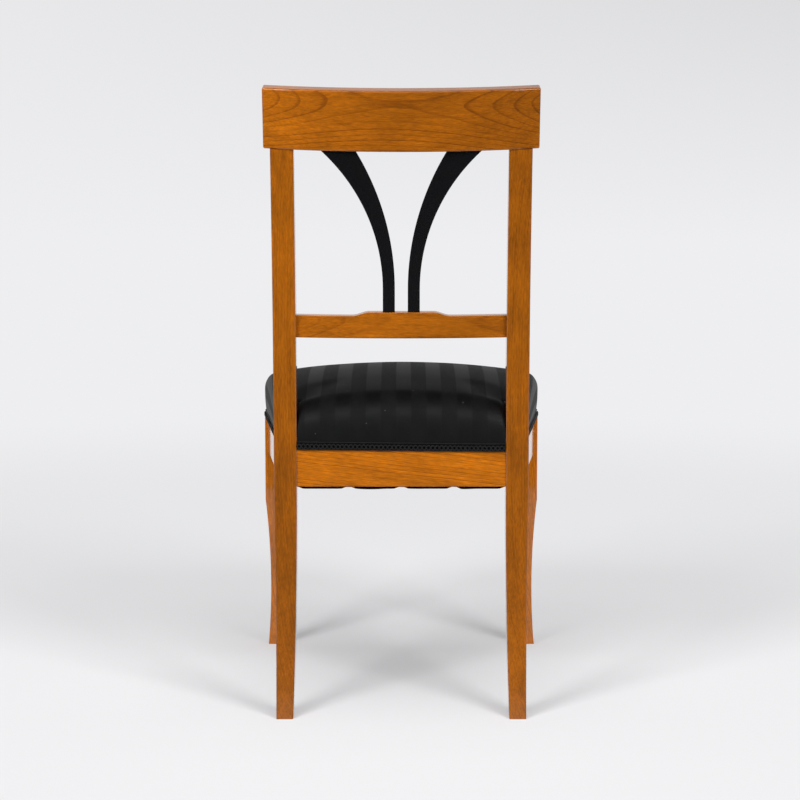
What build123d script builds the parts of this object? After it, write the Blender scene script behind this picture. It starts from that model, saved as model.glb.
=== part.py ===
from build123d import *
import os
from math import asin, cos, pi, radians, sin, sqrt

# Upholstered side chair of the early nineteenth century, in millimetres.
# x runs across the chair (+x is the sitter's left), y runs backwards, z runs up from the floor.
# While modelling, y = 0 is the back face of the back posts at seat height.
# At the end every piece moves by one shift, so that the origin lies under the middle of the chair.

# Overall sizes
total_height = 900.0
front_width = 441.5
back_width = 366.5
seat_depth = 422.0

# Seat rails
rail_bottom = 328.5
rail_height = 72.0
back_rail_thickness = 24.0
front_rail_thickness = 24.0
side_rail_thickness = 22.0
back_rail_setback = 3.0
front_rail_setback = 4.0
side_rail_leg_setback = 4.5
side_rail_post_setback = 8.5

# Back posts, each one piece from the floor to the crest rail
post_width = 32.8
post_depth = 34.0
post_top_depth = 23.0
post_foot_width = 24.0
post_foot_depth = 26.0
post_foot_inset = 4.3
post_taper_radius = 5000.0
post_sweep = 53.0
back_angle = 13.5

# Front sabre legs
leg_width = 35.0
leg_depth = 34.0
leg_foot_width = 27.0
leg_foot_depth = 26.0
leg_sweep = 28.0
leg_knee_height = 246.0
leg_waist_height = 112.0
leg_waist_inset = 7.3
leg_foot_inset = 1.8

# Crest rail, bent backwards in plan
crest_width = 386.0
crest_height = 85.6
crest_thickness = 24.0
crest_bow = 23.0
crest_edge_radius = 2.5

# Stay rail, the lower cross rail of the back
stay_bottom = 544.5
stay_height = 32.0
stay_thickness = 16.0
stay_bow = 9.0
stay_raise = 5.5
stay_raise_width = 94.0
stay_shoulder_length = 24.0

# Splats, two black horns that spread from the stay rail to the crest rail
splat_gap = 18.4
splat_width = 17.1
splat_thickness = 11.0
splat_spread = 66.5
splat_top_width = 50.5
splat_straight = 32.0

# Joinery
tenon_thickness = 10.0
tenon_length = 24.0
tenon_shoulder = 6.0
stay_tenon_thickness = 8.0
stay_tenon_length = 18.0
splat_housing = 9.0
joint_clearance = 0.1
edge_ease = 1.2

# Corner blocks, glued into the angles of the rails
block_leg = 58.0
block_height = 40.0

# Webbing, springs, canvas and the black cloth underneath
strap_width = 50.0
strap_thickness = 1.5
strap_gap = 0.2
strap_inset = 5.0
lengthwise_straps = 4
crosswise_straps = 4
lengthwise_pitch = 76.0
spring_wire = 3.4
spring_end_radius = 38.0
spring_waist_radius = 24.0
spring_turns = 3.0
spring_spacing_x = 156.0
spring_spacing_y = 168.0
canvas_thickness = 1.0
canvas_inset = 5.0
cloth_thickness = 0.8
cloth_inset = 12.0

# Seat cover and its braid
cover_thickness = 1.6
cover_drop = 20.0
cover_bulge = 3.0
crown_height = 485.6
crown_rise_across = 11.5
crown_rise_along = 24.0
roll_radius = 22.0
seat_corner_radius = 18.0
roll_steps = 3
dome_steps = 6
cover_clearance = 0.4
braid_width = 12.5
braid_thickness = 1.8

# Heights and places that follow from the sizes above
rail_top = rail_bottom + rail_height
cover_bottom = rail_top - cover_drop
post_inner = back_width / 2 - post_width
post_middle = back_width / 2 - post_width / 2
leg_outer = front_width / 2
leg_inner = leg_outer - leg_width
leg_back = -(seat_depth - leg_depth)
back_face = -back_rail_setback
front_face = -(seat_depth - front_rail_setback)
back_rail_inner = back_face - back_rail_thickness
front_rail_inner = front_face + front_rail_thickness

# The side rails splay outwards from the back posts to the front legs
side_back_x = back_width / 2 - side_rail_post_setback
side_front_x = leg_outer - side_rail_leg_setback
splay_slope = (side_front_x - side_back_x) / (-post_depth - leg_back)
splay_factor = sqrt(1 + splay_slope**2)

# The back leans on an arc that starts upright at the top of the seat rails
lean = radians(back_angle)
crest_bow_radius = ((crest_width / 2) ** 2 + crest_bow**2) / (2 * crest_bow)


def arc_drop(radius, along):
    """How far an arc has left its starting tangent after a length along that tangent."""
    return radius - sqrt(radius**2 - along**2)


def arc_radius(along, drop):
    """Radius of the arc that leaves its starting tangent by drop after a length along it."""
    return (along**2 + drop**2) / (2 * drop)


crest_end_forward = arc_drop(crest_bow_radius, crest_width / 2) - arc_drop(crest_bow_radius, post_middle)
crest_top_reach = (crest_height - crest_edge_radius) * cos(lean) + crest_edge_radius
crest_front_reach = (crest_thickness / 2 + crest_end_forward - crest_edge_radius) * sin(lean)
crest_seat = total_height - crest_top_reach - crest_front_reach
back_run = crest_seat - rail_top
back_radius = back_run / sin(lean)
back_drop = arc_drop(back_radius, back_run)


def back_y(z):
    """Middle of the back posts' depth at a height above the seat rails."""
    return -post_depth / 2 + arc_drop(back_radius, z - rail_top)


crest_plane = Plane(
    origin=(0, back_y(crest_seat), crest_seat), x_dir=(1, 0, 0), z_dir=(0, sin(lean), cos(lean))
)
stay_lean = asin((stay_bottom + stay_height / 2 - rail_top) / back_radius)
stay_plane = Plane(
    origin=(0, back_y(stay_bottom), stay_bottom),
    x_dir=(1, 0, 0),
    z_dir=(0, sin(stay_lean), cos(stay_lean)),
)


# Ways of cutting a board
def sawn_from_side(profile, x_low, x_high):
    """A board sawn to a profile drawn in y and z, between two places across the chair."""
    face = make_face(Plane.YZ.offset(x_low) * profile)
    return extrude(face, amount=x_high - x_low, dir=(1, 0, 0))


def sawn_from_front(profile, y_front, y_back):
    """A board sawn to a profile drawn in x and z, between two depths."""
    face = make_face(Plane.XZ.offset(-y_front) * profile)
    return extrude(face, amount=y_back - y_front, dir=(0, 1, 0))


def sawn_from_above(profile, z_low, z_high):
    """A board sawn to a plan drawn in x and y, between two heights."""
    face = make_face(Plane.XY.offset(z_low) * profile)
    return extrude(face, amount=z_high - z_low, dir=(0, 0, 1))


def block(x_low, x_high, y_front, y_back, z_low, z_high):
    """A square block between two places along each axis."""
    centre = ((x_low + x_high) / 2, (y_front + y_back) / 2, (z_low + z_high) / 2)
    return Pos(*centre) * Box(x_high - x_low, y_back - y_front, z_high - z_low)


def upright_arc(y_start, z_start, y_end, z_end):
    """An arc in y and z that leaves its start upright and ends at another point."""
    run = z_end - z_start
    middle = arc_drop(arc_radius(abs(run), abs(y_end - y_start)), abs(run) / 2)
    side = 1 if y_end > y_start else -1
    return ThreePointArc((y_start, z_start), (y_start + side * middle, z_start + run / 2), (y_end, z_end))


def outer_x(y):
    """Outer face of the side rail at a depth."""
    return side_back_x + splay_slope * (-post_depth - y)


def splayed(y_front, y_back, inner, outer, z_low, z_high):
    """A piece along the side rail, between two distances inwards from the rail's outer face."""
    corners = [(outer_x(y) - d * splay_factor, y) for y, d in
               ((y_front, outer), (y_back, outer), (y_back, inner), (y_front, inner))]
    return sawn_from_above(Polyline(*corners, close=True), z_low, z_high)


def mirrored(piece):
    """The same piece for the other side of the chair."""
    return mirror(piece, about=Plane.YZ)


# Tenons and the mortises that take them, the mortise larger by a clearance
def back_rail_tenon(grow=0.0):
    middle = back_face - back_rail_thickness / 2
    half = tenon_thickness / 2 + grow
    return block(
        post_inner - grow, post_inner + tenon_length + grow,
        middle - half, middle + half,
        rail_bottom + rail_height / 2 - grow, rail_top - tenon_shoulder + grow,
    )


def front_rail_tenon(grow=0.0):
    middle = front_face + front_rail_thickness / 2
    half = tenon_thickness / 2 + grow
    return block(
        leg_inner - grow, leg_inner + tenon_length + grow,
        middle - half, middle + half,
        rail_bottom + rail_height / 2 - grow, rail_top - tenon_shoulder + grow,
    )


def side_rail_tenons(grow=0.0):
    outer = (side_rail_thickness - tenon_thickness) / 2 - grow
    inner = outer + tenon_thickness + 2 * grow
    z_low = rail_bottom + tenon_shoulder - grow
    z_high = rail_bottom + rail_height / 2 - 2 * joint_clearance + grow
    at_post = splayed(-post_depth - grow, -post_depth + tenon_length + grow, inner, outer, z_low, z_high)
    at_leg = splayed(leg_back - tenon_length - grow, leg_back + grow, inner, outer, z_low, z_high)
    return at_post, at_leg


def stay_tenon(grow=0.0):
    half = stay_tenon_thickness / 2 + grow
    tenon = block(
        post_inner - grow, post_inner + stay_tenon_length + grow,
        -half, half, tenon_shoulder - grow, stay_height - tenon_shoulder + grow,
    )
    return stay_plane * tenon


def post_tenon(grow=0.0):
    half_width = post_width / 2 - tenon_shoulder + grow
    half_depth = tenon_thickness / 2 + grow
    tenon = block(
        post_middle - half_width, post_middle + half_width,
        -half_depth, half_depth, -grow, tenon_length + grow,
    )
    return crest_plane * tenon


# Show-wood frame
def back_post():
    """Left back post: a sabre leg below the seat and a leaning post above it, in one piece."""
    blank_top = crest_seat + crest_height / 2
    top_run = blank_top - rail_top
    back_drop_rear = back_drop - (post_depth - post_top_depth) / 2
    back_drop_front = back_drop + (post_depth - post_top_depth) / 2
    top_rear = arc_drop(arc_radius(back_run, back_drop_rear), top_run)
    top_front = -post_depth + arc_drop(arc_radius(back_run, back_drop_front), top_run)
    side = Curve() + [
        upright_arc(0, rail_top, top_rear, blank_top),
        Line((top_rear, blank_top), (top_front, blank_top)),
        upright_arc(-post_depth, rail_top, top_front, blank_top),
        Line((-post_depth, rail_top), (-post_depth, rail_bottom)),
        upright_arc(-post_depth, rail_bottom, post_sweep - post_foot_depth, 0),
        Line((post_sweep - post_foot_depth, 0), (post_sweep, 0)),
        upright_arc(0, rail_bottom, post_sweep, 0),
        Line((0, rail_bottom), (0, rail_top)),
    ]
    outer = back_width / 2
    foot_outer = outer - post_foot_inset
    front = Curve() + [
        FilletPolyline((foot_outer, 0), (outer, rail_bottom), (outer, blank_top), radius=post_taper_radius),
        Polyline((outer, blank_top), (post_inner, blank_top), (post_inner, rail_bottom)),
        upright_arc(post_inner, rail_bottom, foot_outer - post_foot_width, 0),
        Line((foot_outer - post_foot_width, 0), (foot_outer, 0)),
    ]
    reach = total_height
    post = sawn_from_side(side, 0, back_width) & sawn_from_front(front, -reach, reach)
    post = split(post, bisect_by=crest_plane, keep=Keep.BOTTOM)
    upright = post.edges().filter_by(lambda e: e.bounding_box().size.Z > rail_height)
    post = chamfer(upright, edge_ease)
    post = post + post_tenon()
    mortises = [back_rail_tenon(joint_clearance), side_rail_tenons(joint_clearance)[0],
                stay_tenon(joint_clearance)]
    return post - mortises


def front_leg():
    """Left front leg: square at the seat, swept forwards and flared outwards to the foot."""
    front = Curve() + [
        ThreePointArc((leg_outer - leg_foot_inset, 0), (leg_outer - leg_waist_inset, leg_waist_height),
                      (leg_outer, leg_knee_height)),
        Polyline((leg_outer, leg_knee_height), (leg_outer, rail_top), (leg_inner, rail_top),
                 (leg_inner, leg_knee_height)),
        upright_arc(leg_inner, leg_knee_height, leg_outer - leg_foot_inset - leg_foot_width, 0),
        Line((leg_outer - leg_foot_inset - leg_foot_width, 0), (leg_outer - leg_foot_inset, 0)),
    ]
    toe = leg_back - leg_sweep - leg_foot_depth
    side = Curve() + [
        upright_arc(leg_back, rail_bottom, leg_back - leg_sweep, 0),
        Line((leg_back - leg_sweep, 0), (toe, 0)),
        upright_arc(-seat_depth, rail_bottom, toe, 0),
        Polyline((-seat_depth, rail_bottom), (-seat_depth, rail_top), (leg_back, rail_top),
                 (leg_back, rail_bottom)),
    ]
    leg = sawn_from_front(front, 2 * toe, 0) & sawn_from_side(side, 0, front_width)
    upright = leg.edges().filter_by(lambda e: e.bounding_box().size.Z > rail_height / 2)
    leg = chamfer(upright, edge_ease)
    head_room = block(0, front_width, 2 * toe, 0, cover_bottom, total_height)
    leg = leg - (head_room - extrude(seat_outline(0, cover_bottom), amount=total_height, dir=(0, 0, 1)))
    return leg - [front_rail_tenon(joint_clearance), side_rail_tenons(joint_clearance)[1]]


def bowed_band(width, thickness, bow, middle_y):
    """Plan of a board bent backwards: a band between two arcs, its middle at a given y."""
    edges = []
    for y in (middle_y - thickness / 2, middle_y + thickness / 2):
        edges.append(ThreePointArc((-width / 2, y - bow), (0, y), (width / 2, y - bow)))
    for x in (-width / 2, width / 2):
        edges.append(Line((x, middle_y - thickness / 2 - bow), (x, middle_y + thickness / 2 - bow)))
    return make_face(edges)


crest_middle_y = arc_drop(crest_bow_radius, post_middle)


def crest_rail():
    """Top board of the back, bent in plan, that sits on the posts and takes the splats."""
    plan = bowed_band(crest_width, crest_thickness, crest_bow, crest_middle_y)
    crest = extrude(crest_plane * plan, amount=crest_height, dir=crest_plane.z_dir)
    crest = fillet(crest.edges(), crest_edge_radius)
    tenon = post_tenon(joint_clearance)
    horn = splat(joint_clearance)
    return crest - [tenon, mirrored(tenon), horn, mirrored(horn)]


def stay_rail():
    """Lower cross rail of the back, bent in plan, with a raised middle that takes the splats."""
    plan = bowed_band(2 * post_inner, stay_thickness, stay_bow, stay_bow)
    rail = extrude(plan, amount=stay_height + stay_raise, dir=(0, 0, 1))
    flat = stay_raise_width / 2
    low = flat + stay_shoulder_length
    top = stay_height + stay_raise
    front = Curve() + [
        Polyline((-low, stay_height), (-post_inner, stay_height), (-post_inner, 0), (post_inner, 0),
                 (post_inner, stay_height), (low, stay_height)),
        Spline((low, stay_height), (flat, top), tangents=[(-1, 0), (-1, 0.1)]),
        Line((flat, top), (-flat, top)),
        Spline((-flat, top), (-low, stay_height), tangents=[(-1, -0.1), (-1, 0)]),
    ]
    rail = rail & sawn_from_front(front, -seat_depth, seat_depth)
    rail = chamfer(rail.edges().filter_by(lambda e: e.bounding_box().size.X > stay_shoulder_length / 2),
                   edge_ease)
    rail = stay_plane * rail
    tenon = stay_tenon()
    horn = splat(joint_clearance)
    return rail + [tenon, mirrored(tenon)] - [horn, mirrored(horn)]


def splat(grow=0.0):
    """Left splat: a flat horn, straight at the stay rail, that curves outwards and widens upwards."""
    foot = stay_bottom + (stay_height + stay_raise) * cos(stay_lean)
    spring = foot + splat_straight
    run = crest_seat - spring
    blank_bottom = stay_bottom
    blank_top = crest_seat + crest_height / 2
    edges = []
    ends = []
    for x, top_x, out in ((splat_gap / 2, splat_spread, -1),
                          (splat_gap / 2 + splat_width, splat_spread + splat_top_width, 1)):
        x = x + out * grow
        top_x = top_x + out * grow
        radius = arc_radius(run, top_x - x)
        tilt = asin(run / radius)
        end = (top_x + (blank_top - crest_seat) * sin(tilt) / cos(tilt), blank_top)
        edges += [Line((x, blank_bottom), (x, spring)), upright_arc(x, spring, top_x, crest_seat),
                  Line((top_x, crest_seat), end)]
        ends.append(((x, blank_bottom), end))
    edges += [Line(ends[0][0], ends[1][0]), Line(ends[0][1], ends[1][1])]
    horn = sawn_from_front(Curve() + edges, -seat_depth, seat_depth)

    middle_x = splat_spread + splat_top_width / 2
    stay_back = stay_bow * cos(stay_lean)
    crest_back = (crest_middle_y - arc_drop(crest_bow_radius, middle_x)) * cos(lean)

    def middle_y(z):
        share = (z - foot) / (crest_seat - foot)
        return back_y(z) + stay_back + (crest_back - stay_back) * share

    half = splat_thickness / 2 + grow
    heights = (blank_bottom, (blank_bottom + blank_top) / 2, blank_top)
    side_edges = []
    for offset in (-half, half):
        side_edges.append(ThreePointArc(*[(middle_y(z) + offset, z) for z in heights]))
    for z in (blank_bottom, blank_top):
        side_edges.append(Line((middle_y(z) - half, z), (middle_y(z) + half, z)))
    horn = horn & sawn_from_side(Curve() + side_edges, -crest_width, crest_width)
    horn = split(horn, bisect_by=crest_plane.offset(splat_housing + grow), keep=Keep.BOTTOM)
    stay_floor = stay_plane.offset(stay_height + stay_raise - splat_housing - grow)
    return split(horn, bisect_by=stay_floor, keep=Keep.TOP)


# Seat frame
def back_seat_rail():
    rail = block(-post_inner, post_inner, back_rail_inner, back_face, rail_bottom, rail_top)
    tenon = back_rail_tenon()
    return rail + [tenon, mirrored(tenon)]


def front_seat_rail():
    rail = block(-leg_inner, leg_inner, front_face, front_rail_inner, rail_bottom, rail_top)
    tenon = front_rail_tenon()
    return rail + [tenon, mirrored(tenon)]


def side_rail():
    rail = splayed(leg_back, -post_depth, side_rail_thickness, 0, rail_bottom, rail_top)
    return rail + list(side_rail_tenons())


def side_inner_x(y):
    """Inner face of the side rail at a depth."""
    return outer_x(y) - side_rail_thickness * splay_factor


block_low = rail_bottom + (rail_height - block_height) / 2
along_side = (splay_slope / splay_factor, -1 / splay_factor)


def corner(y, towards_back):
    """Where the inner faces of two rails meet, and the block's end along the side rail."""
    x = side_inner_x(y)
    sign = -1 if towards_back else 1
    end = (x + sign * along_side[0] * block_leg, y + sign * along_side[1] * block_leg)
    return (x, y), end


def corner_block(front):
    """Left corner block, a triangle glued into the angle of two rails."""
    meeting, end = corner(front_rail_inner if front else back_rail_inner, front)
    plan = Polyline(meeting, (meeting[0] - block_leg, meeting[1]), end, close=True)
    body = sawn_from_above(plan, block_low, block_low + block_height)
    if front:
        notch = block(leg_inner - joint_clearance, leg_outer, -seat_depth, leg_back + joint_clearance,
                      rail_bottom, rail_top)
    else:
        notch = block(post_inner - joint_clearance, back_width / 2, -post_depth - joint_clearance, 0,
                      rail_bottom, rail_top)
    return body - notch


# Upholstery
def seat_outline(grow, z):
    """Plan of the seat at a height: the outer faces of the four rails, grown outwards."""
    back = back_face + grow
    front = front_face - grow
    side = grow * splay_factor
    corners = [(outer_x(back) + side, back), (outer_x(front) + side, front),
               (-outer_x(front) - side, front), (-outer_x(back) - side, back)]
    face = make_face(Plane.XY.offset(z) * Polyline(*corners, close=True))
    rounded = face.vertices().sort_by(Axis.Y)[:2]
    return fillet(rounded, seat_corner_radius + grow)


def post_notches(clearance, z_low, z_high):
    """Room for the back posts at the back corners of the seat."""
    notch = block(post_inner - clearance, back_width, -post_depth - clearance, seat_depth, z_low, z_high)
    return [notch, mirrored(notch)]


def leg_notches(clearance, z_low, z_high):
    """Room for the front legs at the front corners of the seat."""
    notch = block(leg_inner - clearance, front_width, -2 * seat_depth, leg_back + clearance, z_low, z_high)
    return [notch, mirrored(notch)]


def seat_section(y, top, half):
    """Cross section of the stuffed seat at a depth: drawn in at the braid, rolled over to a low crown."""
    braided = cover_bottom + braid_width
    wide = half + cover_bulge
    side = top - crown_rise_across
    shoulder = wide - roll_radius
    roll_out = shoulder + roll_radius * sin(pi / 4)
    roll_up = side - roll_radius * (1 - sin(pi / 4))
    half_edges = [
        Polyline((half, cover_bottom), (half, braided), (wide, side - roll_radius)),
        ThreePointArc((wide, side - roll_radius), (roll_out, roll_up), (shoulder, side)),
    ]
    other_edges = [mirror(e, about=Plane.YZ) for e in half_edges]
    crown = ThreePointArc((shoulder, side), (0, top), (-shoulder, side))
    floor = Line((half, cover_bottom), (-half, cover_bottom))
    return make_face(Plane.XZ.offset(-y) * (Curve() + [*half_edges, crown, *other_edges, floor]))


def seat_form(inset):
    """The upholstered seat as a solid form, with its skin moved inwards by an inset."""
    grow = cover_thickness - inset
    back = back_face + grow
    front = front_face - grow
    middle = (back + front) / 2
    reach = (back - front) / 2 - roll_radius
    dome_radius = arc_radius(reach, crown_rise_along)
    corner_radius = seat_corner_radius + grow
    turns = [pi / 2 * i / roll_steps for i in range(roll_steps + 1)]
    roll = [(roll_radius * cos(t), roll_radius * (1 - sin(t))) for t in turns]
    places = [(middle + reach + out, down) for out, down in roll]
    places += [(middle + reach * (1 - 2 * i / dome_steps), 0) for i in range(1, dome_steps)]
    places += [(middle - reach - out, down) for out, down in reversed(roll)]
    sections = []
    for y, roll_drop in places:
        dome_drop = arc_drop(dome_radius, min(abs(y - middle), reach))
        into_corner = min(max(0, front + corner_radius - y), corner_radius)
        half = outer_x(y) + grow * splay_factor - arc_drop(corner_radius, into_corner)
        sections.append(seat_section(y, crown_height - inset - dome_drop - roll_drop, half))
    form = loft(sections, ruled=True)
    return form - post_notches(cover_clearance + inset, 0, total_height)


def seat_cover():
    """Striped cloth over the stuffing, drawn down over the outer faces of the rails."""
    frame = extrude(seat_outline(0, cover_bottom), amount=cover_drop + canvas_thickness, dir=(0, 0, 1))
    return seat_form(0) - seat_form(cover_thickness) - frame


def seat_stuffing():
    floor = rail_top + canvas_thickness
    filling = seat_form(cover_thickness + joint_clearance)
    return split(filling, bisect_by=Plane.XY.offset(floor), keep=Keep.TOP)


def spring_canvas():
    sheet = extrude(seat_outline(-canvas_inset, rail_top), amount=canvas_thickness, dir=(0, 0, 1))
    return sheet - post_notches(cover_clearance, 0, total_height)


strap_low = rail_bottom - 2 * strap_thickness - strap_gap
cloth_top = strap_low - strap_gap


def bottom_cloth():
    plan = seat_outline(-cloth_inset, cloth_top - cloth_thickness)
    sheet = extrude(plan, amount=cloth_thickness, dir=(0, 0, 1))
    sheet = sheet - post_notches(joint_clearance, 0, total_height)
    return sheet - leg_notches(joint_clearance, 0, total_height)


lengthwise_places = [lengthwise_pitch * (i - (lengthwise_straps - 1) / 2) for i in range(lengthwise_straps)]
crosswise_pitch = (back_rail_inner - front_rail_inner) / crosswise_straps
crosswise_places = [front_rail_inner + crosswise_pitch * (i + 0.5) for i in range(crosswise_straps)]


def strap_profile(start, end, crossings, first_over):
    """Side view of a woven strap: flat at each crossing, and over and under in turn."""
    half = strap_width / 2 + strap_gap
    line = [(start, rail_bottom)]
    for i, place in enumerate(crossings):
        over = (i % 2 == 0) == first_over
        top = rail_bottom if over else rail_bottom - strap_thickness - strap_gap
        line += [(place - half, top), (place + half, top)]
    line.append((end, rail_bottom))
    under = [(along, z - strap_thickness) for along, z in reversed(line)]
    return Polyline(*line, *under, close=True)


def lengthwise_strap(i):
    profile = strap_profile(front_face + strap_inset, back_face - strap_inset, crosswise_places, i % 2 == 0)
    middle = lengthwise_places[i]
    return sawn_from_side(profile, middle - strap_width / 2, middle + strap_width / 2)


def crosswise_strap(i):
    middle = crosswise_places[i]
    reach = outer_x(middle) - strap_inset
    profile = strap_profile(-reach, reach, lengthwise_places, i % 2 == 1)
    return sawn_from_front(profile, middle - strap_width / 2, middle + strap_width / 2)


def spring_point(turn):
    """A point on the middle of an hourglass spring's wire, a number of turns from its lower end."""
    share = turn / spring_turns
    radius = spring_end_radius - (spring_end_radius - spring_waist_radius) * sin(pi * share) ** 2
    low = rail_bottom + spring_wire / 2 + joint_clearance
    high = rail_top - spring_wire / 2 - joint_clearance
    rise = share * share * (3 - 2 * share)
    return Vector(radius * cos(2 * pi * turn), radius * sin(2 * pi * turn), low + (high - low) * rise)


def spring_tangent(turn):
    return (spring_point(turn + 1e-4) - spring_point(turn - 1e-4)).normalized()


def spring_path():
    """The spring's line: each quarter turn is two arcs that meet smoothly."""
    edges = []
    for i in range(round(4 * spring_turns)):
        start, end = spring_point(i / 4), spring_point((i + 1) / 4)
        along_start, along_end = spring_tangent(i / 4), spring_tangent((i + 1) / 4)
        chord = end - start
        both = along_start + along_end
        bend = 2 * (1 - along_start.dot(along_end))
        reach = (sqrt(chord.dot(both) ** 2 + bend * chord.dot(chord)) - chord.dot(both)) / bend
        first, second = start + along_start * reach, end - along_end * reach
        joint = (first + second) * 0.5
        edges.append(Edge.make_tangent_arc(start, along_start, joint))
        edges.append(Edge.make_tangent_arc(joint, (second - first).normalized(), end))
    return Wire(edges)


def spring_gap():
    """Least gap between turns of a spring, measured on points a thirty-sixth of a turn apart."""
    points = [spring_point(i / 36) for i in range(round(36 * spring_turns) + 1)]
    pairs = ((a, b) for i, a in enumerate(points) for b in points[i + 18:])
    return min((a - b).length for a, b in pairs) - spring_wire


def seat_springs():
    """Four hourglass springs between the webbing and the canvas, with the wire drawn four-sided."""
    path = spring_path()
    section = Plane(origin=path @ 0, z_dir=path % 0) * RegularPolygon(spring_wire / 2, 4)
    spring = sweep(section, path=path, clean=False)
    middle = (front_rail_inner + back_rail_inner) / 2
    across, along = spring_spacing_x / 2, spring_spacing_y / 2
    places = [(x * across, middle + y * along) for x in (1, -1) for y in (-1, 1)]
    return Compound(children=[Pos(x, y, 0) * spring for x, y in places])


def back_braid():
    reach = post_inner - cover_clearance
    skin = back_face + cover_thickness
    return block(-reach, reach, skin, skin + braid_thickness, cover_bottom, cover_bottom + braid_width)


def front_braid():
    """One braid from post to post, round both sides and the front."""
    band = seat_form(-braid_thickness) - seat_form(0)
    reach = front_width
    braid_top = cover_bottom + braid_width
    over = block(-reach, reach, -2 * seat_depth, seat_depth, braid_top, total_height)
    behind = block(-reach, reach, -post_depth - cover_clearance, seat_depth, 0, total_height)
    return band - over - behind


def build():
    """Every piece of the chair under its own name."""
    pieces = {}
    for name, make in (("back_post", back_post), ("front_leg", front_leg), ("splat", splat),
                       ("side_rail", side_rail)):
        left = make()
        pieces["left_" + name] = left
        pieces["right_" + name] = mirrored(left)
    for front in (True, False):
        left = corner_block(front)
        where = "front" if front else "back"
        pieces[where + "_left_corner_block"] = left
        pieces[where + "_right_corner_block"] = mirrored(left)
    for make in (crest_rail, stay_rail, back_seat_rail, front_seat_rail, seat_cover, seat_stuffing,
                 spring_canvas, bottom_cloth, back_braid, front_braid):
        pieces[make.__name__] = make()
    for i in range(lengthwise_straps):
        pieces[f"lengthwise_webbing_{i + 1}"] = lengthwise_strap(i)
    for i in range(crosswise_straps):
        pieces[f"crosswise_webbing_{i + 1}"] = crosswise_strap(i)
    pieces["seat_springs"] = seat_springs()
    return pieces


def main():
    pieces = build()
    boxes = [piece.bounding_box() for piece in pieces.values()]
    middle = (min(b.min.Y for b in boxes) + max(b.max.Y for b in boxes)) / 2
    os.makedirs("parts", exist_ok=True)
    for name, piece in pieces.items():
        export_step(Pos(0, -middle, 0) * piece, f"parts/{name}.step")
    print("least gap between turns of a spring, mm:", round(spring_gap(), 2))


main()
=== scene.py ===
"""Looks of a Biedermeier side chair: polished cherry, black lacquered splats and a striped satin seat."""
import bisect
import math

import bmesh
import bpy
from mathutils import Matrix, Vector, noise


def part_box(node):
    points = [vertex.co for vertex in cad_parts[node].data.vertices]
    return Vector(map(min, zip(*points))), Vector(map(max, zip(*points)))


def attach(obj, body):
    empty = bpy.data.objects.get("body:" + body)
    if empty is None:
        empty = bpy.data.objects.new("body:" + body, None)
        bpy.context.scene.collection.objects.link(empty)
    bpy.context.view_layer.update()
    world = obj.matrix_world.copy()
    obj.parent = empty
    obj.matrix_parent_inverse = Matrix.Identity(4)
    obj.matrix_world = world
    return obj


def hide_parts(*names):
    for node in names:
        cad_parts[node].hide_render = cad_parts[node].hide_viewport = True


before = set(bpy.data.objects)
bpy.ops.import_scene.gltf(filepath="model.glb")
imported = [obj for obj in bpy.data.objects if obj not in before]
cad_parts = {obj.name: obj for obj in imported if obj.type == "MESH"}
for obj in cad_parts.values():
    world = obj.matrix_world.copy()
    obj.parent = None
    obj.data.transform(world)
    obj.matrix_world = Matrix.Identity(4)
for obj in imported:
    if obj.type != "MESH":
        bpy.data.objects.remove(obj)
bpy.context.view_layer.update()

bl_info = {
    "name": "Biedermeier side chair",
    "version": (1, 0, 0),
    "blender": (4, 5, 0),
    "location": "3D View > Sidebar > Chair",
    "description": "Dresses the frame of a side chair in polished cherry, lacquer and upholstery",
    "category": "Object",
}

MM = 0.001
WAVE = math.pi / 10  # scale of a wave texture for bands one unit apart
BODY = "root"
PICTURE = 800  # width of the picture in pixels


def hex_colour(code):
    """Linear RGBA of an sRGB hex colour."""
    parts = [int(code[i:i + 2], 16) / 255 for i in (1, 3, 5)]
    linear = [c / 12.92 if c <= 0.04045 else ((c + 0.055) / 1.055) ** 2.4 for c in parts]
    return (*linear, 1.0)


def a_length(name, description, millimetres):
    """A length that a user may change."""
    return bpy.props.FloatProperty(
        name=name, description=description, default=millimetres * MM, unit="LENGTH")


def a_colour(name, description, code):
    """A colour that a user may change."""
    return bpy.props.FloatVectorProperty(
        name=name, description=description, default=hex_colour(code), size=4, subtype="COLOR")


def a_share(name, description, part):
    """A share of a whole that a user may change."""
    return bpy.props.FloatProperty(name=name, description=description, default=part, subtype="FACTOR")


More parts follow.
